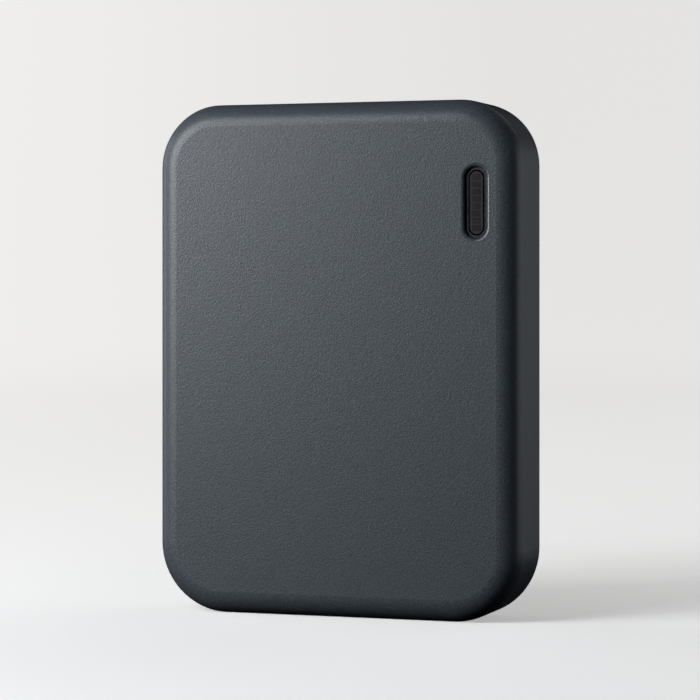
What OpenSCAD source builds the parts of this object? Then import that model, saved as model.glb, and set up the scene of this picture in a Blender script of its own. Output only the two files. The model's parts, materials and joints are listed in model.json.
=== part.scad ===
// Portable solid state drive in a two-piece moulded case, standing on its short edge.
// Units are millimetres. X is the width, Z the height, and the face looks along -Y.
// The origin is at the middle of the bottom edge.
// Every piece is modelled with the drive on its back, face up, and stand() sets it upright.

/* [Body] */
// Width of the case
body_w = 49; // [46:0.5:58]
// Height of the case, standing on its short edge
body_h = 66; // [65:0.5:80]
// Thickness of the case, from face to back
body_t = 11; // [10.6:0.1:14]
// Radius of the two upper corners
corner_top = 8.2; // [7:0.1:10]
// Radius of the two lower corners
corner_bottom = 9; // [7:0.1:10]

/* [Rear shell] */
// Side wall
side_wall = 1.4; // [1.2:0.1:1.8]
// Back wall
back_wall = 1.2; // [1:0.1:1.8]
// Round of the back edge
back_r = 1; // [0.5:0.1:1.5]
// Height of the stiffening ribs on the back wall
floor_rib_h = 0.5; // [0.3:0.1:0.9]
// Thickness of the stiffening ribs on the back wall
floor_rib_t = 1; // [0.6:0.1:1.6]
// Spacing of the stiffening ribs on the back wall
floor_rib_pitch = 11; // [8:0.5:16]

/* [Front cover] */
// Radius of the round that runs round the face
face_r = 3; // [2:0.1:3.4]
// Angle through which the face turns before it ends at the seam
face_sweep = 75; // [65:1:85]
// Wall of the cover behind the face
cover_wall = 1.2; // [1:0.1:1.4]
// Thickness of the lip that goes inside the rear shell
lip_t = 0.8; // [0.6:0.1:1.2]
// Length of the lip
lip_h = 1.4; // [1.1:0.1:2]
// Clearance between the lip and the side wall
lip_gap = 0.1; // [0.05:0.01:0.2]
// Length of a snap hook along the edge
hook_w = 5; // [3:0.5:8]
// Height of a snap hook
hook_h = 0.8; // [0.6:0.1:1]
// Share of a snap hook's height that its ramp takes
hook_ramp = 0.6; // [0.4:0.05:0.8]
// How far a snap hook stands out from the lip
hook_out = 0.45; // [0.3:0.05:0.6]
// Clearance round a snap hook in its recess
hook_gap = 0.15; // [0.1:0.05:0.2]
// Distance from the middle of the long edges to their hooks
hook_y = 15; // [10:0.5:18]
// Thickness of the cover's inner ribs
rib_t = 0.9; // [0.6:0.1:1.2]
// Spacing of the cover's inner ribs
rib_pitch = 8; // [6:0.5:12]
// Clearance between the ribs and the heat spreader
rib_gap = 0.1; // [0.05:0.05:0.25]

/* [Port] */
// Distance from the right side to the port's centre line
port_from_side = 5.6; // [5.4:0.05:7]
// Distance from the top to the port's centre
port_from_top = 13.1; // [12.5:0.1:18]
// Width of the slot in the cover
slot_w = 2.8; // [2.6:0.05:3.2]
// Length of the slot in the cover
slot_l = 9; // [8.5:0.05:9.4]
// Round of the slot's rim
rim_r = 0.45; // [0.3:0.05:0.5]
// Clearance between the slot and the metal mouth
mouth_gap = 0.05; // [0.03:0.01:0.1]
// Wall of the metal mouth
mouth_wall = 0.3; // [0.2:0.05:0.35]
// Depth of the mouth's edge below the face
mouth_depth = 0.55; // [0.55:0.05:1]
// Gap between the metal mouth and the panel inside it
panel_gap = 0.2; // [0.1:0.05:0.25]
// Depth of the panel's end below the face
panel_depth = 0.5; // [0.4:0.05:1]
// Number of contacts in the panel
contact_count = 8; // [6:1:8]
// Space between neighbouring contacts
contact_space = 0.25; // [0.2:0.01:0.3]
// Distance from the panel's end to the first contact's middle
contact_end = 0.75; // [0.6:0.01:0.8]
// Distance from the panel's long side to the contacts
contact_edge = 0.35; // [0.3:0.01:0.45]
// How far the contacts stand out of the panel's end
contact_proud = 0.03; // [0.01:0.01:0.05]
// Clearance of a moulded or metal piece in the piece that holds it
fit_gap = 0.02; // [0.01:0.01:0.04]
// Height of the insert's foot inside the mouth
foot_h = 2; // [1.5:0.1:3]
// Width of the moulded base round the port
base_w = 5; // [4.4:0.1:5.6]
// Length of the moulded base round the port
base_l = 10.2; // [10:0.1:10.8]
// Height of the moulded base round the port
base_h = 2.4; // [1.5:0.1:3]
// Corner radius of the moulded base
base_r = 0.8; // [0.3:0.1:1]
// Width of the seal round the mouth
seal_w = 1; // [0.6:0.1:1.2]
// Height of the seal
seal_h = 1.2; // [0.8:0.1:1.4]
// Width of the mouth's solder tabs
tab_w = 1.2; // [0.8:0.1:1.4]
// Thickness of the mouth's solder tabs
tab_t = 0.25; // [0.2:0.01:0.3]
// Clearance round a solder tab in the board
tab_gap = 0.05; // [0.03:0.01:0.1]

/* [Main board] */
// Thickness of the main board
board_t = 0.8; // [0.6:0.1:1]
// Gap between the main board and the side wall
board_gap = 0.5; // [0.3:0.1:0.8]
// Height of the bosses that carry the main board
boss_h = 1.2; // [1:0.1:1.5]
// Diameter of the bosses
boss_d = 3.6; // [3.2:0.1:4]
// Gap between a boss and the side wall in the corner
boss_gap = 0.8; // [0.6:0.1:1.2]
// Diameter of the board screws
screw_d = 1.4; // [1.2:0.1:1.6]
// Clearance round a board screw in its boss
pilot_gap = 0.03; // [0.02:0.01:0.05]
// Clearance round a board screw in the board
screw_gap = 0.2; // [0.1:0.05:0.3]
// Wall left behind a screw's hole in the back wall
pilot_floor = 0.6; // [0.4:0.1:0.7]
// Space between a screw's tip and the bottom of its hole
tip_gap = 0.2; // [0.1:0.1:0.3]
// Diameter of the screw heads
head_d = 2.6; // [2.3:0.1:2.8]
// Height of the screw heads
head_h = 0.8; // [0.6:0.1:1]
// Span of the cross recess as a share of a screw's head
cross_span = 0.6; // [0.5:0.05:0.7]
// Diameter of the two pins that locate the board
pin_d = 1.5; // [1.2:0.1:1.8]
// Width of the shoulder at a locating pin's foot, on which the board lies
pin_shoulder = 0.5; // [0.3:0.1:0.7]
// Clearance round a locating pin in the board
pin_gap = 0.1; // [0.05:0.05:0.2]
// Distance from the board's side to its locating pins
pin_inset = 1.7; // [1.4:0.1:1.8]
// Height of the left locating pin above the bottom
pin_left_y = 33; // [25:1:40]
// Height of the right locating pin above the bottom
pin_right_y = 24; // [23:0.5:25]

/* [Drive module] */
// Width of the module board
module_w = 22; // [20:0.5:22]
// Length of the module board
module_l = 42; // [41:0.5:46]
// Thickness of the module board
module_t = 0.8; // [0.6:0.1:1]
// Height of the module above the main board
module_lift = 2.2; // [2:0.1:2.4]
// Distance from the main board's left side to the module
module_from_side = 3.6; // [3.4:0.1:4]
// Distance from the main board's lower edge to the module's edge in its socket
module_from_bottom = 8.1; // [7.9:0.1:9]
// Radius of the notch at the module's free end
notch_r = 1.75; // [1.5:0.05:2]
// Clearance of the post's neck in the notch
notch_gap = 0.1; // [0.05:0.05:0.2]
// Diameter of the post under the module's free end
post_d = 4.6; // [4.2:0.1:5]
// Diameter of the module screw
module_screw_d = 1.9; // [1.6:0.1:2]
// Diameter of the module screw's head
module_head_d = 4.6; // [4.2:0.1:5]
// Height of the module screw's head
module_head_h = 0.8; // [0.6:0.1:1]
// Depth of the module's edge in its socket
socket_reach = 3.8; // [3.4:0.1:4]
// Wall of the socket behind and beside the module's edge
socket_wall = 1.2; // [0.8:0.1:1.4]
// Height of the socket above the module's face
socket_over = 0.8; // [0.6:0.1:1]
// Clearance round the module's edge in its socket
socket_gap = 0.1; // [0.07:0.01:0.15]
// Width of the key in the socket
key_w = 1; // [0.8:0.1:1.2]
// Distance from the module's middle to the key
key_x = 6.5; // [6:0.5:7.5]
// Spacing of the module's edge contacts and of the socket's leads
lead_pitch = 1; // [0.8:0.1:1.5]
// Width of an edge contact and of a socket lead
lead_w = 0.4; // [0.3:0.05:0.5]
// Length of an edge contact
finger_l = 2.6; // [2:0.1:3]
// Thickness of an edge contact
finger_t = 0.05; // [0.03:0.01:0.06]
// Length of a socket lead
lead_l = 0.8; // [0.6:0.1:0.9]
// Thickness of a socket lead
lead_t = 0.2; // [0.15:0.05:0.3]

/* [Module chips] */
// Height of the chips on the module
chip_t = 0.9; // [0.8:0.05:1]
// Side of the square controller chip
controller_l = 9.4; // [8:0.1:9.6]
// Width of the memory chip
memory_w = 7.6; // [7:0.1:8]
// Width of a flash chip
flash_w = 13.5; // [12:0.5:14]
// Length of a flash chip
flash_l = 9.6; // [9:0.1:9.8]
// Space between neighbouring chips
chip_space = 0.8; // [0.6:0.1:0.9]
// Distance from the socket to the first chips
chip_start = 2.6; // [2.4:0.1:2.8]

/* [Heat path] */
// Thickness of the pad over the module's chips
pad_t = 0.5; // [0.4:0.1:0.6]
// Width of the pad over the module's chips
pad_w = 19; // [18:0.1:19.2]
// Thickness of the heat spreader
spreader_t = 0.5; // [0.4:0.1:0.6]
// How far the heat spreader reaches past the module and the bridge chip
spreader_over = 1.5; // [1.2:0.1:1.6]
// Height of the heat spreader's folded edges
flange_h = 1.2; // [0.9:0.1:1.4]
// Inner radius of the folds
fold_r = 0.4; // [0.2:0.1:0.5]
// Diameter of the cover's pins that hold the heat spreader
stake_d = 1.4; // [1.2:0.1:1.5]
// Clearance round a pin in the heat spreader
stake_gap = 0.05; // [0.03:0.01:0.1]
// Distance from the heat spreader's edge to its pins
stake_inset = 1.7; // [1.6:0.1:1.8]
// How far the pins reach through the heat spreader
stake_end = 0.3; // [0.2:0.1:0.4]

/* [Board parts] */
// Side of the square bridge chip
bridge_l = 7.6; // [7:0.1:8]
// Height of the bridge chip
bridge_t = 0.85; // [0.7:0.05:1]
// Distance from the port to the bridge chip, across the drive
bridge_dx = 7.5; // [7:0.1:8]
// Distance from the port down to the bridge chip
bridge_dy = 15; // [14:0.5:16]
// Side of the square gap filler on the bridge chip
filler_l = 6.8; // [6:0.1:7]
// Side of a square inductor
coil_l = 4.4; // [4:0.1:4.6]
// Height of an inductor
coil_h = 2; // [1.6:0.1:2.4]
// Diameter of an inductor's winding
winding_d = 4; // [3.6:0.1:4]
// Height of the row of inductors above the bottom
coil_y = 18; // [17.5:0.1:18.5]
// Distance from the board's right side to the nearer inductor's middle
coil_from_side = 5; // [4.6:0.1:5.4]
// Distance between the inductors
coil_pitch = 6; // [5.4:0.1:6.4]
// Side of the square power chip
power_l = 4; // [3.6:0.1:4.2]
// Width of the crystal's can
crystal_w = 2.5; // [2:0.1:2.6]
// Length of the crystal's can
crystal_l = 3.2; // [2.5:0.1:3.4]
// Height of the crystal's can
crystal_h = 0.7; // [0.6:0.1:1]
// Width of the start-up memory's body
boot_w = 4; // [3.8:0.1:4.2]
// Length of the start-up memory's body
boot_l = 5; // [4.8:0.1:5.2]
// Height of the start-up memory's body
boot_h = 1.4; // [1:0.1:1.6]
// How far the start-up memory's leads stand out of its body
boot_lead_l = 0.75; // [0.6:0.05:0.9]
// Width of the start-up memory's leads
boot_lead_w = 0.45; // [0.3:0.05:0.5]
// Thickness of the start-up memory's leads
boot_lead_t = 0.2; // [0.15:0.05:0.25]
// Spacing of the start-up memory's leads
boot_lead_pitch = 1.27; // [1.1:0.01:1.3]
// Length of a small capacitor or resistor
small_l = 1.6; // [1.4:0.1:1.8]
// Width of a small capacitor or resistor
small_w = 0.8; // [0.7:0.1:0.9]
// Space between neighbouring small parts
small_space = 0.9; // [0.7:0.1:1]
// Space between rows of board parts
row_space = 1.2; // [1:0.1:1.3]
// Height of a small capacitor
cap_h = 0.8; // [0.6:0.1:0.9]
// Height of a small resistor
res_h = 0.45; // [0.4:0.05:0.6]

/* [Hidden] */
$fn = 64;

// Reach of a cut past the surface that it opens, and of a rib or boss into the wall that carries it
cut = 1;
root = 0.3;

// Colours
cover_grey = "#4a4d52";
shell_grey = "#44474c";
steel = "#6a6a6e";
black_plastic = "#2a2a2c";
copper = "#8a5a4a";
rubber_black = "#1e1e20";
board_green = "#1f4a3a";
chip_black = "#1c1c1e";
gold = "#c9a24a";
brass = "#b08d4a";
pad_blue = "#7d93a8";
aluminium = "#c4c7ca";
coil_grey = "#4b4b50";
ceramic_tan = "#b79a74";

// The face's round, and the seam where it ends
round_w = face_r * sin(face_sweep);
seam_z = body_t - face_r * (1 - cos(face_sweep));
lip_z = seam_z - lip_h;
lip_inset = side_wall + lip_gap;
cavity_inset = lip_inset + lip_t;
cover_inner_z = body_t - cover_wall;

// Levels of the stack, up from the back wall
board_back_z = back_wall + boss_h;
board_z = board_back_z + board_t;
module_back_z = board_z + module_lift;
module_z = module_back_z + module_t;
chip_z = module_z + chip_t;
spreader_z = chip_z + pad_t;
spreader_top_z = spreader_z + spreader_t;

// Edges of the main board
board_inset = side_wall + board_gap;
board_right = body_w / 2 - board_inset;
board_left = -board_right;
pilot_d = screw_d + 2 * pilot_gap;

// The port
port_x = body_w / 2 - port_from_side;
port_y = body_h - port_from_top;
mouth_w = slot_w - 2 * mouth_gap;
mouth_l = slot_l - 2 * mouth_gap;
mouth_z = body_t - mouth_depth;
bore_w = mouth_w - 2 * mouth_wall;
bore_l = mouth_l - 2 * mouth_wall;
panel_w = bore_w - 2 * panel_gap;
panel_l = bore_l - 2 * panel_gap;
panel_z = body_t - panel_depth;
contact_w = panel_w - 2 * contact_edge;
contact_pitch = (panel_l - 2 * contact_end) / (contact_count - 1);
contact_l = contact_pitch - contact_space;
tab_y = mouth_l / 2 - mouth_wall;
tab_reach = 0.3;

// The drive module
module_x = board_left + module_from_side + module_w / 2;
module_y = board_inset + module_from_bottom;
module_end = module_y + module_l;
socket_back = module_y - socket_gap - socket_wall;
socket_front = module_y + socket_reach;
socket_w = module_w + 2 * socket_gap + 2 * socket_wall;
chips_y = socket_front + chip_start;
lead_count = floor((module_w - 2 * lead_w) / lead_pitch / 2);
key_gap = 0.1;

// Chips in rows up the module
controller_x = module_x - pad_w / 2 + controller_l / 2;
memory_x = module_x + pad_w / 2 - memory_w / 2;
row_1 = chips_y + controller_l / 2;
row_2 = row_1 + controller_l / 2 + chip_space + flash_l / 2;
row_3 = row_2 + flash_l + chip_space;
pad_end = row_3 + flash_l / 2;

// The bridge chip and the heat spreader over it
bridge_x = port_x - bridge_dx;
bridge_y = port_y - bridge_dy;
spreader_left = module_x - module_w / 2 - spreader_over;
spreader_right = bridge_x + bridge_l / 2 + spreader_over;
spreader_low = chips_y - spreader_over;
spreader_high = max(pad_end, bridge_y + bridge_l / 2) + spreader_over;

// Small parts in rows along the right of the board, and in one row above the module
boot_x = bridge_x - bridge_l / 2 + boot_w / 2 + boot_lead_l;
boot_y = bridge_y - bridge_l / 2 - row_space - boot_l / 2;
power_x = board_right - coil_from_side;
power_y = boot_y;
small_pitch = small_w + small_space;
coil_row_x = board_right - coil_from_side - coil_pitch;
coil_row_1 = coil_y - coil_l / 2 - row_space - small_l / 2;
coil_row_2 = coil_row_1 - small_l - small_space;
end_row = module_end + post_d / 2 + row_space + small_l / 2;

// Sets the drive upright from its back, face forward
module stand() {
    translate([0, body_t / 2, 0])
        rotate([90, 0, 0])
            children();
}

// A slot outline with round ends, its length along Y
module pill(l, w) {
    square([w, l - w], center = true);
    for (end = [-1, 1])
        translate([0, end * (l - w) / 2])
            circle(d = w);
}

// A centred rectangle with round corners
module rounded_rect(w, l, r) {
    square([w, l - 2 * r], center = true);
    square([w - 2 * r, l], center = true);
    for (x = [-1, 1], y = [-1, 1])
        translate([x * (w / 2 - r), y * (l / 2 - r)])
            circle(r = r, $fn = 32);
}

// The case's outline seen from the front, moved inwards by inset
module outline(inset) {
    w = body_w / 2 - inset;
    low = corner_bottom - inset;
    high = corner_top - inset;
    top = body_h - inset;
    polygon([
        [-w, inset + low], [-w + low, inset], [w - low, inset], [w, inset + low],
        [w, top - high], [w - high, top], [-w + high, top], [-w, top - high]
    ]);
    for (side = [-1, 1]) {
        translate([side * (w - low), inset + low])
            circle(r = low);
        translate([side * (w - high), top - high])
            circle(r = high);
    }
}

// Section of the cover across its edge, w deep: flat face, round, and the seam plane below
module cover_section(w) {
    translate([0, seam_z])
        square([w - round_w, body_t - seam_z]);
    intersection() {
        translate([w - round_w, body_t - face_r])
            circle(r = face_r);
        translate([0, seam_z])
            square([w + cut, body_t - seam_z]);
    }
}

// Section of the rear shell across its edge, w deep: straight side and rounded back edge
module shell_section(w) {
    square([w - back_r, seam_z]);
    translate([0, back_r])
        square([w, seam_z - back_r]);
    translate([w - back_r, back_r])
        circle(r = back_r);
}

module edge_section(piece, w) {
    if (piece == "cover")
        cover_section(w);
    else
        shell_section(w);
}

// A solid with the case's outline and the given section all round its edge
module case_form(piece, low_z, high_z) {
    side = max(corner_top, corner_bottom);
    core_w = body_w / 2 - side;
    run = body_h - corner_top - corner_bottom;
    translate([-core_w, corner_bottom, low_z])
        cube([2 * core_w, run, high_z - low_z]);
    // Right and left sides
    translate([core_w, body_h - corner_top, 0])
        rotate([90, 0, 0])
            linear_extrude(run) edge_section(piece, side);
    translate([-core_w, corner_bottom, 0])
        rotate([90, 0, 180])
            linear_extrude(run) edge_section(piece, side);
    // Top and bottom
    translate([corner_top - body_w / 2, body_h - corner_top, 0])
        rotate([90, 0, 90])
            linear_extrude(body_w - 2 * corner_top) edge_section(piece, corner_top);
    translate([body_w / 2 - corner_bottom, corner_bottom, 0])
        rotate([90, 0, -90])
            linear_extrude(body_w - 2 * corner_bottom) edge_section(piece, corner_bottom);
    // Upper corners, then lower corners
    for (turn = [0, 90])
        translate([(turn == 0 ? 1 : -1) * (body_w / 2 - corner_top), body_h - corner_top, 0])
            rotate([0, 0, turn])
                rotate_extrude(angle = 90) edge_section(piece, corner_top);
    for (turn = [180, 270])
        translate([(turn == 270 ? 1 : -1) * (body_w / 2 - corner_bottom), corner_bottom, 0])
            rotate([0, 0, turn])
                rotate_extrude(angle = 90) edge_section(piece, corner_bottom);
}

// Places children at the six snap hooks, X pointing outwards and the lip's outer face at 0
module at_hooks() {
    side = body_w / 2 - lip_inset;
    for (y = [-hook_y, hook_y]) {
        translate([side, body_h / 2 + y, lip_z])
            children();
        translate([-side, body_h / 2 + y, lip_z])
            rotate([0, 0, 180])
                children();
    }
    translate([0, body_h - lip_inset, lip_z])
        rotate([0, 0, 90])
            children();
    translate([0, lip_inset, lip_z])
        rotate([0, 0, -90])
            children();
}

// Snap hook: a ramp that rides over the shell's rim, and a flat that holds
module hook() {
    translate([0, hook_w / 2, 0])
        rotate([90, 0, 0])
            linear_extrude(hook_w)
                polygon([
                    [-root, 0], [0, 0], [hook_out, hook_h * hook_ramp],
                    [hook_out, hook_h], [-root, hook_h]
                ]);
}

// Recess in the side wall for a snap hook
module hook_recess() {
    translate([0, -hook_w / 2 - hook_gap, -hook_gap])
        cube([hook_out + hook_gap, hook_w + 2 * hook_gap, hook_h + 2 * hook_gap]);
}

// Places children at the four board screws, on the corners' diagonals
module at_screws() {
    low = (corner_bottom - side_wall - boss_gap - boss_d / 2) * cos(45);
    high = (corner_top - side_wall - boss_gap - boss_d / 2) * cos(45);
    for (side = [-1, 1]) {
        translate([side * (body_w / 2 - corner_bottom + low), corner_bottom - low, 0])
            children();
        translate([side * (body_w / 2 - corner_top + high), body_h - corner_top + high, 0])
            children();
    }
}

// Places children at the two locating pins of the board
module at_pins() {
    translate([board_left + pin_inset, pin_left_y, 0])
        children();
    translate([board_right - pin_inset, pin_right_y, 0])
        children();
}

module at_port() {
    translate([port_x, port_y, 0])
        children();
}

// Places children at the pins that hold the heat spreader
module at_stakes() {
    for (x = [spreader_left + stake_inset, spreader_right - stake_inset],
         y = [spreader_low + stake_inset, spreader_high - stake_inset])
        translate([x, y, 0])
            children();
}

// The slot through the cover, with its rounded rim
module port_slot() {
    translate([0, 0, cover_inner_z - cut])
        linear_extrude(cover_wall + 2 * cut) pill(slot_l, slot_w);
    run = slot_l - slot_w;
    for (turn = [0, 180]) {
        rotate([0, 0, turn])
            translate([0, run / 2, 0])
                rotate_extrude(angle = 180) rim_section();
        rotate([0, 0, turn])
            translate([0, run / 2, 0])
                rotate([90, 0, 0])
                    linear_extrude(run) rim_section();
    }
}

// Section of the cut for the rim, from the slot's middle outwards
module rim_section() {
    rim_low = body_t - rim_r;
    difference() {
        translate([0, rim_low])
            square([slot_w / 2 + rim_r, rim_r + cut]);
        translate([slot_w / 2 + rim_r, rim_low])
            circle(r = rim_r, $fn = 32);
    }
}

// Crossed ribs over the heat spreader
module cover_ribs() {
    low = spreader_top_z + rib_gap;
    tall = cover_inner_z + root - low;
    w = spreader_right - spreader_left;
    l = spreader_high - spreader_low;
    columns = floor(w / rib_pitch / 2);
    rows = floor(l / rib_pitch / 2);
    for (i = [-columns : columns])
        translate([spreader_left + w / 2 + i * rib_pitch - rib_t / 2, spreader_low, low])
            cube([rib_t, l, tall]);
    for (i = [-rows : rows])
        translate([spreader_left, spreader_low + l / 2 + i * rib_pitch - rib_t / 2, low])
            cube([w, rib_t, tall]);
}

module front_cover() {
    color(cover_grey)
        stand() {
            difference() {
                union() {
                    case_form("cover", seam_z, body_t);
                    translate([0, 0, lip_z])
                        linear_extrude(lip_h + root) outline(lip_inset);
                }
                translate([0, 0, lip_z - cut])
                    linear_extrude(cover_inner_z - lip_z + cut) outline(cavity_inset);
                at_port()
                    port_slot();
            }
            at_hooks()
                hook();
            cover_ribs();
            at_stakes()
                translate([0, 0, spreader_z - stake_end])
                    cylinder(h = cover_inner_z + root - spreader_z + stake_end, d = stake_d, $fn = 24);
        }
}

// Low ribs on the back wall, between the bosses
module floor_ribs() {
    w = body_w - 2 * side_wall;
    l = body_h - 2 * side_wall;
    columns = floor((w / 2 - corner_bottom) / floor_rib_pitch);
    rows = floor((l / 2 - corner_bottom) / floor_rib_pitch);
    for (i = [-columns : columns])
        translate([i * floor_rib_pitch - floor_rib_t / 2, side_wall - root, back_wall - root])
            cube([floor_rib_t, l + 2 * root, floor_rib_h + root]);
    for (i = [-rows : rows])
        translate([-w / 2 - root, body_h / 2 + i * floor_rib_pitch - floor_rib_t / 2, back_wall - root])
            cube([w + 2 * root, floor_rib_t, floor_rib_h + root]);
}

module rear_shell() {
    color(shell_grey)
        stand()
            difference() {
                union() {
                    difference() {
                        case_form("shell", 0, seam_z);
                        translate([0, 0, back_wall])
                            linear_extrude(body_t) outline(side_wall);
                        at_hooks()
                            hook_recess();
                    }
                    at_screws()
                        translate([0, 0, back_wall - root])
                            cylinder(h = boss_h + root, d = boss_d);
                    at_pins() {
                        translate([0, 0, back_wall - root])
                            cylinder(h = boss_h + root, d = pin_d + 2 * pin_shoulder);
                        translate([0, 0, back_wall])
                            cylinder(h = boss_h + board_t, d = pin_d, $fn = 24);
                    }
                    // Posts that take the push of a plug
                    for (y = [-1, 1])
                        translate([port_x, port_y + y * bore_l / 4, back_wall - root])
                            cylinder(h = boss_h + root, d = bore_w);
                    floor_ribs();
                }
                at_screws()
                    translate([0, 0, pilot_floor])
                        cylinder(h = board_z, d = pilot_d, $fn = 24);
            }
}

module port_shell() {
    color(steel)
        stand()
            at_port() {
                translate([0, 0, board_z])
                    linear_extrude(mouth_z - board_z)
                        difference() {
                            pill(mouth_l, mouth_w);
                            pill(bore_l, bore_w);
                        }
                for (end = [-1, 1])
                    translate([-tab_w / 2, end * tab_y - tab_t / 2, board_back_z - tab_reach])
                        cube([tab_w, tab_t, board_t + tab_reach]);
            }
}

// Places children at the contacts, in a row along the port
module at_contacts() {
    for (i = [0 : contact_count - 1])
        translate([0, (i - (contact_count - 1) / 2) * contact_pitch, 0])
            children();
}

module port_insert() {
    color(black_plastic)
        stand()
            at_port()
                difference() {
                    union() {
                        translate([0, 0, board_z])
                            linear_extrude(foot_h)
                                pill(bore_l - 2 * fit_gap, bore_w - 2 * fit_gap);
                        translate([0, 0, board_z])
                            linear_extrude(panel_z - board_z) pill(panel_l, panel_w);
                    }
                    at_contacts()
                        translate([0, 0, board_z - cut])
                            linear_extrude(body_t)
                                square([contact_w + 2 * fit_gap, contact_l + 2 * fit_gap], center = true);
                }
}

module port_contacts() {
    color(copper)
        stand()
            at_port()
                at_contacts()
                    translate([0, 0, board_z])
                        linear_extrude(panel_z + contact_proud - board_z)
                            square([contact_w, contact_l], center = true);
}

module port_base() {
    color(black_plastic)
        stand()
            at_port()
                translate([0, 0, board_z])
                    linear_extrude(base_h)
                        difference() {
                            rounded_rect(base_w, base_l, base_r);
                            pill(mouth_l + 2 * fit_gap, mouth_w + 2 * fit_gap);
                        }
}

module port_seal() {
    color(rubber_black)
        stand()
            at_port()
                translate([0, 0, cover_inner_z - seal_h])
                    linear_extrude(seal_h)
                        difference() {
                            pill(mouth_l + 2 * fit_gap + 2 * seal_w, mouth_w + 2 * fit_gap + 2 * seal_w);
                            pill(mouth_l + 2 * fit_gap, mouth_w + 2 * fit_gap);
                        }
}

module main_board() {
    color(board_green)
        stand()
            translate([0, 0, board_back_z])
                linear_extrude(board_t)
                    difference() {
                        outline(board_inset);
                        at_screws()
                            circle(d = screw_d + 2 * screw_gap, $fn = 32);
                        at_pins()
                            circle(d = pin_d + 2 * pin_gap, $fn = 32);
                        at_port()
                            for (end = [-1, 1])
                                translate([0, end * tab_y])
                                    square([tab_w + 2 * tab_gap, tab_t + 2 * tab_gap], center = true);
                    }
}

// Cross recess in a screw head, cut down from the top
module cross(size, deep) {
    for (turn = [0, 90])
        rotate([0, 0, turn])
            translate([-size / 2, -size / 8, -deep])
                cube([size, size / 4, deep + cut]);
}

module board_screws() {
    color(steel)
        stand()
            at_screws()
                difference() {
                    union() {
                        translate([0, 0, board_z])
                            cylinder(h = head_h, d = head_d, $fn = 32);
                        translate([0, 0, pilot_floor + tip_gap])
                            cylinder(h = board_z - pilot_floor - tip_gap, d = screw_d, $fn = 24);
                    }
                    translate([0, 0, board_z + head_h])
                        cross(head_d * cross_span, head_h / 2);
                }
}

// A chip package: a substrate, a slightly smaller moulded cap, and a dimple at pin one
module chip(w, l, t) {
    step = 0.2;
    substrate = t / 3;
    dimple = 0.8;
    dimple_depth = 0.1;
    translate([-w / 2, -l / 2, 0])
        cube([w, l, substrate]);
    difference() {
        translate([step - w / 2, step - l / 2, 0])
            cube([w - 2 * step, l - 2 * step, t]);
        translate([step + dimple - w / 2, l / 2 - step - dimple, t - dimple_depth])
            cylinder(h = cut, d = dimple, $fn = 24);
    }
}

module bridge_chip() {
    color(chip_black)
        stand()
            translate([bridge_x, bridge_y, board_z])
                chip(bridge_l, bridge_l, bridge_t);
}

module bridge_pad() {
    color(pad_blue)
        stand()
            translate([bridge_x - filler_l / 2, bridge_y - filler_l / 2, board_z + bridge_t])
                cube([filler_l, filler_l, spreader_z - board_z - bridge_t]);
}

module power_chip() {
    color(chip_black)
        stand()
            translate([power_x, power_y, board_z])
                chip(power_l, power_l, bridge_t);
}

// Two power inductors: a square core with a round winding between its flanges
module inductors() {
    flange = coil_h / 5;
    color(coil_grey)
        stand()
            for (i = [0, 1])
                translate([board_right - coil_from_side - i * coil_pitch, coil_y, board_z]) {
                    translate([-coil_l / 2, -coil_l / 2, 0])
                        cube([coil_l, coil_l, flange]);
                    cylinder(h = coil_h, d = winding_d);
                    translate([0, 0, coil_h - flange])
                        cylinder(h = flange, d = coil_l);
                }
}

// Metal-lidded crystal beside the bridge chip
module crystal() {
    frame = 0.25;
    color(steel)
        stand()
            translate([bridge_x + bridge_l / 2 + row_space, bridge_y - crystal_l / 2, board_z]) {
                cube([crystal_w, crystal_l, crystal_h / 2]);
                translate([frame, frame, 0])
                    cube([crystal_w - 2 * frame, crystal_l - 2 * frame, crystal_h]);
            }
}

// Small memory chip for start-up, with four leads on each side
module boot_chip() {
    across = boot_w + 2 * boot_lead_l;
    color(chip_black)
        stand()
            translate([boot_x, boot_y, board_z]) {
                translate([-boot_w / 2, -boot_l / 2, boot_lead_t / 2])
                    cube([boot_w, boot_l, boot_h]);
                for (i = [-1.5 : 1.5])
                    translate([-across / 2, i * boot_lead_pitch - boot_lead_w / 2, 0])
                        cube([across, boot_lead_w, boot_lead_t]);
            }
}

// A small two-ended part: a body with slightly larger metal ends
module small_part(h) {
    cap = small_l / 5;
    shrink = 0.05;
    translate([-small_l / 2 + shrink, -small_w / 2 + shrink, 0])
        cube([small_l - 2 * shrink, small_w - 2 * shrink, h - shrink]);
    for (end = [-1, 1])
        translate([end * (small_l - cap) / 2 - cap / 2, -small_w / 2, 0])
            cube([cap, small_w, h]);
}

// A row of small parts, standing across the row
module small_row(x, y, count, h) {
    for (i = [0 : count - 1])
        translate([x + i * small_pitch, y, board_z])
            rotate([0, 0, 90])
                small_part(h);
}

module capacitors() {
    color(ceramic_tan)
        stand() {
            small_row(coil_row_x, coil_row_1, 5, cap_h);
            small_row(module_x, end_row, 6, cap_h);
        }
}

module resistors() {
    color(chip_black)
        stand() {
            small_row(coil_row_x, coil_row_2, 4, res_h);
            small_row(bridge_x - small_pitch, bridge_y + bridge_l / 2 + row_space + small_l / 2, 3, res_h);
        }
}

module module_socket() {
    inner_w = module_w + 2 * socket_gap;
    color(black_plastic)
        stand()
            translate([module_x, 0, 0]) {
                difference() {
                    translate([-socket_w / 2, socket_back, board_z])
                        cube([socket_w, socket_front - socket_back, module_z + socket_over - board_z]);
                    translate([-inner_w / 2, module_y - socket_gap, module_back_z - socket_gap])
                        cube([inner_w, socket_reach + socket_gap + cut, module_t + 2 * socket_gap]);
                }
                translate([key_x - key_w / 2, socket_back, module_back_z - root])
                    cube([key_w, socket_front - socket_back, module_t + 2 * root]);
            }
}

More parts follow.
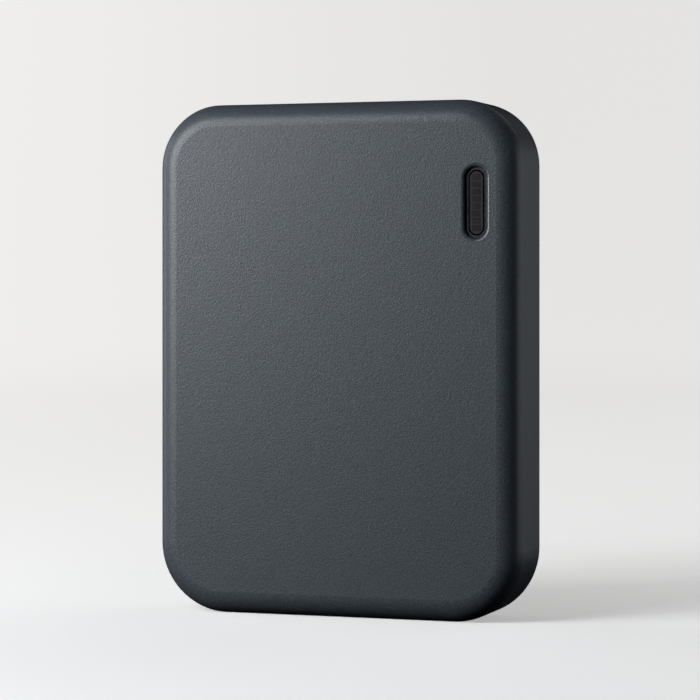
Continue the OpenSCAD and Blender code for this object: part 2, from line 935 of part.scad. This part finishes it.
// Places children at the edge contacts, which leave room for the key
module at_leads() {
    for (i = [-lead_count : lead_count])
        if (abs(i * lead_pitch - key_x) > key_w / 2 + key_gap + lead_w / 2)
            translate([module_x + i * lead_pitch, 0, 0])
                children();
}

module socket_leads() {
    color(gold)
        stand()
            at_leads()
                translate([-lead_w / 2, socket_back - lead_l, board_z])
                    cube([lead_w, lead_l, lead_t]);
}

module module_board() {
    key_slot = key_w + 2 * key_gap;
    color(board_green)
        stand()
            translate([module_x, module_y, module_back_z])
                linear_extrude(module_t)
                    difference() {
                        translate([-module_w / 2, 0])
                            square([module_w, module_l]);
                        translate([key_x - key_slot / 2, -cut])
                            square([key_slot, socket_reach + key_gap + cut]);
                        translate([0, module_l])
                            circle(r = notch_r);
                    }
}

module module_contacts() {
    color(gold)
        stand()
            at_leads()
                translate([-lead_w / 2, module_y, module_z])
                    cube([lead_w, finger_l, finger_t]);
}

// Post under the module's free end, with a neck that fills the notch and a threaded hole
module module_post() {
    neck = module_t - notch_gap;
    color(brass)
        stand()
            translate([module_x, module_end, board_z])
                difference() {
                    union() {
                        cylinder(h = module_lift, d = post_d);
                        cylinder(h = module_lift + neck, r = notch_r - notch_gap);
                    }
                    cylinder(h = body_t, d = module_screw_d + 2 * pilot_gap, $fn = 32);
                }
}

module module_screw() {
    shank = module_lift + module_t - tip_gap;
    color(steel)
        stand()
            translate([module_x, module_end, module_z])
                difference() {
                    union() {
                        cylinder(h = module_head_h, d = module_head_d);
                        translate([0, 0, -shank])
                            cylinder(h = shank, d = module_screw_d, $fn = 32);
                    }
                    translate([0, 0, module_head_h])
                        cross(module_head_d * cross_span, module_head_h / 2);
                }
}

module controller_chip() {
    color(chip_black)
        stand()
            translate([controller_x, row_1, module_z])
                chip(controller_l, controller_l, chip_t);
}

module memory_chip() {
    color(chip_black)
        stand()
            translate([memory_x, row_1, module_z])
                chip(memory_w, controller_l, chip_t);
}

module flash_chip_1() {
    color(chip_black)
        stand()
            translate([module_x, row_2, module_z])
                chip(flash_w, flash_l, chip_t);
}

module flash_chip_2() {
    color(chip_black)
        stand()
            translate([module_x, row_3, module_z])
                chip(flash_w, flash_l, chip_t);
}

module module_capacitors() {
    color(ceramic_tan)
        stand()
            for (x = [-1, 1], y = [-1, 0, 1])
                translate([
                    module_x + x * (flash_w / 2 + chip_space + small_w / 2),
                    row_2 + flash_l / 2 + y * (small_l + chip_space),
                    module_z
                ])
                    rotate([0, 0, 90])
                        small_part(cap_h);
}

module chip_pad() {
    color(pad_blue)
        stand()
            translate([module_x - pad_w / 2, chips_y, chip_z])
                cube([pad_w, pad_end - chips_y, pad_t]);
}

// Section of the heat spreader across the drive: a flat sheet with both edges folded back
module spreader_section(w) {
    bend = fold_r + spreader_t;
    translate([bend, flange_h - spreader_t])
        square([w - 2 * bend, spreader_t]);
    for (side = [0, 1])
        translate([side * w, 0])
            mirror([side, 0]) {
                square([spreader_t, flange_h - bend]);
                translate([bend, flange_h - bend])
                    intersection() {
                        difference() {
                            circle(r = bend, $fn = 32);
                            circle(r = fold_r, $fn = 32);
                        }
                        translate([-bend, 0])
                            square(bend);
                    }
            }
}

module heat_spreader() {
    w = spreader_right - spreader_left;
    l = spreader_high - spreader_low;
    color(aluminium)
        stand()
            difference() {
                translate([spreader_left, spreader_high, spreader_top_z - flange_h])
                    rotate([90, 0, 0])
                        linear_extrude(l) spreader_section(w);
                at_stakes()
                    cylinder(h = body_t, d = stake_d + 2 * stake_gap, $fn = 32);
            }
}

front_cover();
rear_shell();
port_shell();
port_insert();
port_contacts();
port_base();
port_seal();
main_board();
board_screws();
bridge_chip();
bridge_pad();
power_chip();
inductors();
crystal();
boot_chip();
capacitors();
resistors();
module_socket();
socket_leads();
module_board();
module_contacts();
module_post();
module_screw();
controller_chip();
memory_chip();
flash_chip_1();
flash_chip_2();
module_capacitors();
chip_pad();
heat_spreader();
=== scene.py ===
"""Looks for a pocket-size external solid state drive that stands on its short edge.

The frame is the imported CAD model, in metres: X across, Z up, the grained face towards -Y.
Lengths typed here are in millimetres and pass through mm() on their way to Blender, and those
taken from the frame are in metres. Angles are in degrees.
"""
import json
import math

import bmesh
import bpy
from mathutils import Matrix, Vector


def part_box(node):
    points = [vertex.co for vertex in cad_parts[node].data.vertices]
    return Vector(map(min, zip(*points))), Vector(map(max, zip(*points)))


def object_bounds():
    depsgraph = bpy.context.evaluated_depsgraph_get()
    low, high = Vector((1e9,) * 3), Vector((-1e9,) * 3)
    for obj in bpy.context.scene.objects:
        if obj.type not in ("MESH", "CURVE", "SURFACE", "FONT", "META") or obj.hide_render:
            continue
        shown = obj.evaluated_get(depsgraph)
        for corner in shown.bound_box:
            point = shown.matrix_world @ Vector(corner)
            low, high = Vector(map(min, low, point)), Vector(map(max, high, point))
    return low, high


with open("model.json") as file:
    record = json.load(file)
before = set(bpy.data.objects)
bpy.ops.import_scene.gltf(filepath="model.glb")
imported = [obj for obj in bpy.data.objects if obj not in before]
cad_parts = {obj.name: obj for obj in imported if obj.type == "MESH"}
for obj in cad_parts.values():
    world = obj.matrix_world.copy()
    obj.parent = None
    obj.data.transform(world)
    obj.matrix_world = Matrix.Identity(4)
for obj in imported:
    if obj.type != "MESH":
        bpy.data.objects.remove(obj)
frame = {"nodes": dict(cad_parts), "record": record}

CAD_BOX = [list(corner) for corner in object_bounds()]
FACE_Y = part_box("front_cover")[0][1]

# Camera, fitted to the outline in the photograph: level, with the horizon above the middle. The
# horizon's rise and the photograph's size are in pixels.
CAMERA_TURN = 19.05
CAMERA_DISTANCE = 338.3
CAMERA_SIDE = 2.18
CAMERA_HEIGHT = 42.25
LENS = 136.4
HORIZON_RISE = 62.5
PHOTO_SIZE = 700
CAMERA_RANGE = (10, 10000)

# Studio sweep round the drive
SWEEP_RADIUS = 1500
SWEEP_CURVE = 700
SWEEP_TOP = 1500
SWEEP_STEPS = 96
CURVE_STEPS = 16
SWEEP_WELD = 0.01
CARD_COLOUR = "f8f8f7"
# Colour of the card's glow, which is painted light
CARD_GLOW_COLOUR = "fffefd"
CARD_ROUGHNESS = 0.9

# Glow of the sweep, which is painted light on the card in place of studio light. It dips round a
# point in front of the drive, where the softboxes reach, rises slowly from there to the far wall,
# and leans a little to the left.
GLOW_CENTRE = (-40, -80)
GLOW_LEVEL = 0.635
GLOW_DIP = 0.48
GLOW_DIP_REACH = 119
GLOW_DIP_POWER = 1.46
GLOW_RISE = 0.17
GLOW_RISE_REACH = 1000
GLOW_LEAN = 0.047
GLOW_LEAN_REACH = 150

# Distance and size of the softboxes that stand away from the drive, at its sides and behind it
FAR_BOX_DISTANCE = 700
FAR_BOX_SIZE = 350

# Values of a noise texture between which a material goes from one end of its range to the other
MOTTLE_SPAN = (0.35, 0.65)
VARY_SPAN = (0.3, 0.7)

# Satin skin of the two mouldings
ABS_IOR = 1.53
ABS_ROUGHNESS = 0.42

# Grain of the moulded face
PEBBLE = 0.24
PEBBLE_DEPTH = 0.015
FINE_GRAIN = 0.12
ROUND_DEPTH = 1.2
GRAIN_AT_SEAM = 0.25

# Rim of the port's slot, which the etching leaves smooth, measured out from the port's metal mouth
RIM_WIDTH = 0.5
RIM_FADE = 0.15
RIM_ROUGHNESS = 0.28


def mm(length):
    """A length in millimetres as Blender's metres."""
    return length / 1000


def srgb(code):
    """A colour written as six hexadecimal digits, as linear RGBA."""
    channels = [int(code[i:i + 2], 16) / 255 for i in (0, 2, 4)]
    return [c / 12.92 if c <= 0.04045 else ((c + 0.055) / 1.055) ** 2.4 for c in channels] + [1.0]


def add(material, kind, links=None, **settings):
    """Adds a node, sets its values by name, and links its inputs to the outputs given."""
    tree = material.node_tree
    node = tree.nodes.new(kind)
    for name, value in settings.items():
        if hasattr(node, name):
            setattr(node, name, value)
        else:
            node.inputs[name.replace("_", " ")].default_value = value
    for name, output in (links or {}).items():
        tree.links.new(output, node.inputs[name])
    return node


def calculate(material, operation, *operands):
    """The result of a Math node whose operands are outputs of nodes or numbers."""
    node = add(material, "ShaderNodeMath", operation=operation)
    for socket, operand in zip(node.inputs, operands):
        if isinstance(operand, bpy.types.NodeSocket):
            material.node_tree.links.new(operand, socket)
        else:
            socket.default_value = operand
    return node.outputs["Value"]


def new_material(name):
    """An empty material, and its output node."""
    material = bpy.data.materials.new(name)
    material.use_nodes = True
    material.node_tree.nodes.clear()
    return material, add(material, "ShaderNodeOutputMaterial")


def place(material):
    """Object coordinates, in metres."""
    return add(material, "ShaderNodeTexCoord").outputs["Object"]


def surface(name, colour, roughness, metallic=0.0, ior=1.5, bump=None):
    """A material. Its colour, its bump and sometimes its roughness are functions that add nodes."""
    material, output = new_material(name)
    shader = add(material, "ShaderNodeBsdfPrincipled", Metallic=metallic, IOR=ior)
    for socket, value in (("Base Color", colour), ("Roughness", roughness)):
        if callable(value):
            material.node_tree.links.new(value(material), shader.inputs[socket])
        else:
            shader.inputs[socket].default_value = value
    if bump:
        material.node_tree.links.new(bump(material), shader.inputs["Normal"])
    material.node_tree.links.new(shader.outputs["BSDF"], output.inputs["Surface"])
    return material


def mottle(dark, light, size):
    """A colour that drifts between two hex colours, over patches of a size in millimetres."""
    def build(material):
        noise = add(material, "ShaderNodeTexNoise", {"Vector": place(material)},
                    Scale=1 / mm(size), Detail=2.0)
        ramp = add(material, "ShaderNodeValToRGB", {"Fac": noise.outputs["Fac"]})
        stops = ramp.color_ramp.elements
        for stop, position, colour in zip(stops, MOTTLE_SPAN, (dark, light)):
            stop.position = position
            stop.color = srgb(colour)
        return ramp.outputs["Color"]
    return build


def vary(low, high, size):
    """A value that drifts between two numbers, over patches of a size in millimetres."""
    def build(material):
        noise = add(material, "ShaderNodeTexNoise", {"Vector": place(material)},
                    Scale=1 / mm(size))
        span = add(material, "ShaderNodeMapRange", {"Value": noise.outputs["Fac"]},
                   From_Min=VARY_SPAN[0], From_Max=VARY_SPAN[1], To_Min=low, To_Max=high)
        return span.outputs["Result"]
    return build


def off_rim(material):
    """0 on the smooth rim of the port's slot and 1 on the grained face round it."""
    low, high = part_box("port_shell")
    half_width, half_height = (high[0] - low[0]) / 2, (high[2] - low[2]) / 2
    rim_end = half_width + mm(RIM_WIDTH)
    shifted = add(material, "ShaderNodeMapping", {"Vector": place(material)},
                  Location=(-(low[0] + high[0]) / 2, 0, -(low[2] + high[2]) / 2))
    apart = add(material, "ShaderNodeSeparateXYZ", {"Vector": shifted.outputs["Vector"]})
    height = calculate(material, "ABSOLUTE", apart.outputs["Z"])
    past_straight = calculate(material, "SUBTRACT", height, half_height - half_width)
    in_end = calculate(material, "MAXIMUM", past_straight, 0.0)
    flat = add(material, "ShaderNodeCombineXYZ", {"X": apart.outputs["X"], "Z": in_end})
    away = add(material, "ShaderNodeVectorMath", {0: flat.outputs["Vector"]}, operation="LENGTH")
    fade = add(material, "ShaderNodeMapRange", {"Value": away.outputs["Value"]},
               From_Min=rim_end, From_Max=rim_end + mm(RIM_FADE))
    return fade.outputs["Result"]


def rim_roughness(material):
    """Roughness of the grained face, and a lower one on the slot's rim."""
    span = add(material, "ShaderNodeMapRange", {"Value": off_rim(material)},
               To_Min=RIM_ROUGHNESS, To_Max=ABS_ROUGHNESS)
    return span.outputs["Result"]


def pebbled(material):
    """Normal of a face moulded in an etched tool: rounded pebbles that fade out round the edge."""
    where = place(material)
    pebbles = add(material, "ShaderNodeTexVoronoi", {"Vector": where}, Scale=1 / mm(PEBBLE))
    fine = add(material, "ShaderNodeTexNoise", {"Vector": where},
               Scale=1 / mm(FINE_GRAIN), Detail=3.0)
    height = calculate(material, "SUBTRACT", fine.outputs["Fac"], pebbles.outputs["Distance"])
    depth = add(material, "ShaderNodeSeparateXYZ", {"Vector": where})
    fade = add(material, "ShaderNodeMapRange", {"Value": depth.outputs["Y"]},
               From_Min=FACE_Y, From_Max=FACE_Y + mm(ROUND_DEPTH),
               To_Min=1.0, To_Max=GRAIN_AT_SEAM)
    strength = calculate(material, "MULTIPLY", fade.outputs["Result"], off_rim(material))
    bump = add(material, "ShaderNodeBump", {"Height": height, "Strength": strength},
               Distance=mm(PEBBLE_DEPTH))
    return bump.outputs["Normal"]


def fine_bump(size, depth):
    """Normal of a surface with an even fine texture of the given size and depth in millimetres."""
    def build(material):
        noise = add(material, "ShaderNodeTexNoise", {"Vector": place(material)},
                    Scale=1 / mm(size), Detail=2.0)
        bump = add(material, "ShaderNodeBump", {"Height": noise.outputs["Fac"]},
                   Strength=1.0, Distance=mm(depth))
        return bump.outputs["Normal"]
    return build


def grained_abs():
    # ABS moulded in an etched tool: dark slate grey, satin, with a low pebbled grain that shows as
    # fine light and dark specks, and a smooth rim round the slot that catches the light
    return surface("etched_tool_abs", mottle("373d43", "545c63", FINE_GRAIN), rim_roughness,
                   ior=ABS_IOR, bump=pebbled)


def smooth_abs():
    # The same ABS from a polished tool: an even satin skin
    return surface("smooth_moulded_abs", mottle("474c52", "484d53", 9.0), ABS_ROUGHNESS,
                   ior=ABS_IOR, bump=fine_bump(0.15, 0.004))


def drawn_steel():
    # Stainless sheet drawn to a sleeve, satin, darkened as painted shade for the shade in the port
    return surface("stainless_sheet_painted_shade", mottle("404247", "484a4f", 1.5),
                   roughness=0.38, metallic=1.0)


def port_lcp_and_painted_shade():
    # Glass-filled liquid crystal polymer, matte, its own warm dark grey darkened further as painted
    # shade of the port
    return surface("lcp_panel_and_painted_shade", mottle("28262a", "2e2c30", 0.8),
                   roughness=0.65, ior=1.35, bump=fine_bump(0.1, 0.004))


def contact_plating_painted_shade():
    # Contacts with a thin plating over copper alloy; their dull reddish brown is painted shade of
    # the port's depth
    return surface("plated_contacts_painted_shade", mottle("22191a", "2a2021", 0.4),
                   roughness=0.6, metallic=0.1, ior=1.3)


def black_nylon():
    # Glass-filled nylon, black, matte
    return surface("moulded_black_nylon", mottle("19191b", "202022", 2.0),
                   roughness=0.5, ior=1.53)


def foam_rubber():
    # Closed-cell foam: fine dents and no shine
    return surface("closed_cell_foam", mottle("151517", "1c1c1e", 0.4),
                   roughness=0.9, bump=fine_bump(0.25, 0.05))


def solder_mask():
    # Glass laminate under a green lacquer
    return surface("solder_masked_laminate", mottle("123c2a", "174633", 4.0), roughness=0.3)


def zinc_plate():
    # Zinc plated screw steel
    return surface("zinc_plated_steel", mottle("8b8c90", "9b9ca0", 0.8),
                   roughness=0.35, metallic=1.0)


def chip_epoxy():
    # Epoxy moulding compound: near black, with a fine matte grain
    return surface("moulded_epoxy", mottle("161617", "1b1b1c", 1.0),
                   roughness=0.55, bump=fine_bump(0.08, 0.003))


def silicone_pad():
    # Filled silicone: soft, pale grey-blue, waxy
    return surface("filled_silicone", mottle("7a8b9b", "8494a3", 2.0), roughness=0.6, ior=1.42)


def ferrite():
    # Sintered ferrite, dark grey with a dry grain
    return surface("sintered_ferrite", mottle("303033", "3a3a3d", 0.6),
                   roughness=0.6, bump=fine_bump(0.1, 0.01))


def capacitor_body():
    # Fired ceramic, tan
    return surface("fired_capacitor_ceramic", mottle("8e745a", "9c8165", 0.5), roughness=0.4)


def resistor_body():
    # Glazed ceramic, black
    return surface("glazed_resistor_ceramic", mottle("141416", "1c1c1f", 0.5), roughness=0.25)


def gold_flash():
    # Thin gold over nickel
    return surface("gold_flash", mottle("b8923c", "c8a24a", 0.6), roughness=0.28, metallic=1.0)


def turned_brass():
    # Brass turned on a bar lathe
    return surface("turned_brass", mottle("a98643", "b8944e", 0.8), roughness=0.3, metallic=1.0)


def rolled_aluminium():
    # Rolled aluminium sheet whose gloss drifts a little
    return surface("rolled_aluminium", mottle("b4b7ba", "c0c3c6", 3.0),
                   roughness=vary(0.3, 0.4, 1.0), metallic=1.0)


FINISHES = {
    "grained_cover": grained_abs,
    "smooth_shell": smooth_abs,
    "drawn_steel": drawn_steel,
    "port_moulding": port_lcp_and_painted_shade,
    "contact_plating": contact_plating_painted_shade,
    "black_moulding": black_nylon,
    "foam_rubber": foam_rubber,
    "circuit_board": solder_mask,
    "screw_steel": zinc_plate,
    "chip_resin": chip_epoxy,
    "gap_filler": silicone_pad,
    "inductor_core": ferrite,
    "capacitor_ceramic": capacitor_body,
    "resistor_ceramic": resistor_body,
    "gold_plating": gold_flash,
    "turned_brass": turned_brass,
    "spreader_sheet": rolled_aluminium,
}


def finish_nodes():
    """Gives each CAD node the finish of its material slot in the record."""
    made = {slot: build() for slot, build in FINISHES.items()}
    for part in frame["record"]["subparts"]:
        piece = frame["nodes"][part["node"]]
        piece.data.materials.clear()
        piece.data.materials.append(made[part["material_slot"]])


def camera():
    """A level camera at the photograph's angle, shifted so that the horizon is above the middle."""
    turn = math.radians(CAMERA_TURN)
    data = bpy.data.cameras.new("camera")
    data.lens = LENS
    data.shift_y = -HORIZON_RISE / PHOTO_SIZE
    data.clip_start, data.clip_end = (mm(reach) for reach in CAMERA_RANGE)
    made = bpy.data.objects.new("camera", data)
    made.location = (
        mm(CAMERA_SIDE) * math.cos(turn) + mm(CAMERA_DISTANCE) * math.sin(turn),
        mm(CAMERA_SIDE) * math.sin(turn) - mm(CAMERA_DISTANCE) * math.cos(turn) + FACE_Y,
        mm(CAMERA_HEIGHT),
    )
    made.rotation_euler = (math.radians(90), 0, turn)
    bpy.context.collection.objects.link(made)
    bpy.context.scene.camera = made


def glow(material):
    """Painted light: how strongly the sweep glows, by the distance from the middle of its dip and
    by the side.
    """
    turn = Matrix.Rotation(-math.radians(CAMERA_TURN), 3, "Z")
    shift = -(turn @ Vector((mm(GLOW_CENTRE[0]), mm(GLOW_CENTRE[1]), 0)))
    turned = add(material, "ShaderNodeMapping", {"Vector": place(material)},
                 Location=shift, Rotation=turn.to_euler())
    away = add(material, "ShaderNodeVectorMath", {0: turned.outputs["Vector"]}, operation="LENGTH")
    ratio = calculate(material, "DIVIDE", away.outputs["Value"], mm(GLOW_DIP_REACH))
    growth = calculate(material, "POWER", ratio, GLOW_DIP_POWER)
    fall = calculate(material, "EXPONENT", calculate(material, "MULTIPLY", growth, -1.0))
    dip = calculate(material, "MULTIPLY", fall, GLOW_DIP)
    rise = add(material, "ShaderNodeMapRange", {"Value": away.outputs["Value"]},
               From_Min=0.0, From_Max=mm(GLOW_RISE_REACH), To_Min=0.0, To_Max=GLOW_RISE)
    across = add(material, "ShaderNodeSeparateXYZ", {"Vector": turned.outputs["Vector"]})
    reach = mm(GLOW_LEAN_REACH)
    lean = add(material, "ShaderNodeMapRange", {"Value": across.outputs["X"]},
               From_Min=-reach, From_Max=reach, To_Min=GLOW_LEAN, To_Max=-GLOW_LEAN)
    dipped = calculate(material, "SUBTRACT", GLOW_LEVEL, dip)
    raised = calculate(material, "ADD", dipped, rise.outputs["Result"])
    return calculate(material, "ADD", raised, lean.outputs["Result"])


def glowing_card_painted_light():
    """Matte card for the sweep with painted light: it glows so that it looks as pale as in the
    photograph.
    """
    material, output = new_material("glowing_card_painted_light")
    shader = add(material, "ShaderNodeBsdfPrincipled", {"Emission Strength": glow(material)},
                 Roughness=CARD_ROUGHNESS, Base_Color=srgb(CARD_COLOUR),
                 Emission_Color=srgb(CARD_GLOW_COLOUR))
    material.node_tree.links.new(shader.outputs["BSDF"], output.inputs["Surface"])
    return material


def sweep():
    """A pale studio sweep: a round floor that curves up into a wall on every side."""
    shape = bmesh.new()
    flat = SWEEP_RADIUS - SWEEP_CURVE
    line = [(0, 0), (flat, 0)]
    for i in range(1, CURVE_STEPS + 1):
        angle = math.radians(90 * i / CURVE_STEPS)
        line.append((flat + SWEEP_CURVE * math.sin(angle), SWEEP_CURVE * (1 - math.cos(angle))))
    line.append((SWEEP_RADIUS, SWEEP_TOP))
    verts = [shape.verts.new((mm(x), 0, mm(z))) for x, z in line]
    edges = [shape.edges.new(pair) for pair in zip(verts, verts[1:])]
    bmesh.ops.spin(shape, geom=verts + edges, cent=(0, 0, 0), axis=(0, 0, 1), dvec=(0, 0, 0),
                   angle=math.radians(360), steps=SWEEP_STEPS, use_merge=True,
                   use_normal_flip=False, use_duplicate=False)
    bmesh.ops.remove_doubles(shape, verts=shape.verts, dist=mm(SWEEP_WELD))
    bmesh.ops.recalc_face_normals(shape, faces=shape.faces)
    for face in shape.faces:
        face.smooth = True
    mesh = bpy.data.meshes.new("sweep")
    shape.to_mesh(mesh)
    shape.free()
    made = bpy.data.objects.new("sweep", mesh)
    bpy.context.collection.objects.link(made)
    made.data.materials.append(glowing_card_painted_light())
    # The card is seen, and takes shadows, but throws no light back up at the drive
    made.visible_diffuse = False
    made.visible_glossy = False


def softbox(name, azimuth, elevation, power, colour="ffffff",
            distance=FAR_BOX_DISTANCE, size=FAR_BOX_SIZE):
    """A soft square light that faces the drive. Azimuth 0 is in front, 90 to the right."""
    azimuth, elevation = math.radians(azimuth), math.radians(elevation)
    target = Vector((0, 0, (CAD_BOX[0][2] + CAD_BOX[1][2]) / 2))
    outward = Vector((math.sin(azimuth) * math.cos(elevation),
                      -math.cos(azimuth) * math.cos(elevation),
                      math.sin(elevation)))
    data = bpy.data.lights.new(name, "AREA")
    data.shape = "SQUARE"
    data.size = mm(size)
    data.energy = power
    data.color = srgb(colour)[:3]
    made = bpy.data.objects.new(name, data)
    made.location = target + outward * mm(distance)
    made.rotation_mode = "QUATERNION"
    made.rotation_quaternion = (-outward).to_track_quat("-Z", "Y")
    bpy.context.collection.objects.link(made)


def lights():
    """Two near softboxes for the face, and four further off for the sides and the top."""
    softbox("key", azimuth=-45, elevation=16, power=0.42, distance=230, size=110)
    softbox("fill", azimuth=-25, elevation=35, power=0.12, colour="eef5ff", distance=230, size=70)
    softbox("left", azimuth=-100, elevation=10, power=0.65)
    softbox("right", azimuth=105, elevation=5, power=0.57, colour="f1f7ff")
    softbox("right_back", azimuth=140, elevation=5, power=0.42, colour="f1f7ff")
    softbox("back", azimuth=150, elevation=40, power=0.2)


def room():
    """A dark room, so that only the softboxes light the drive."""
    world = bpy.data.worlds.new("room")
    world.use_nodes = True
    world.node_tree.nodes["Background"].inputs["Strength"].default_value = 0.0
    bpy.context.scene.world = world


camera()
finish_nodes()
sweep()
lights()
room()
bpy.context.scene.view_settings.view_transform = "Standard"
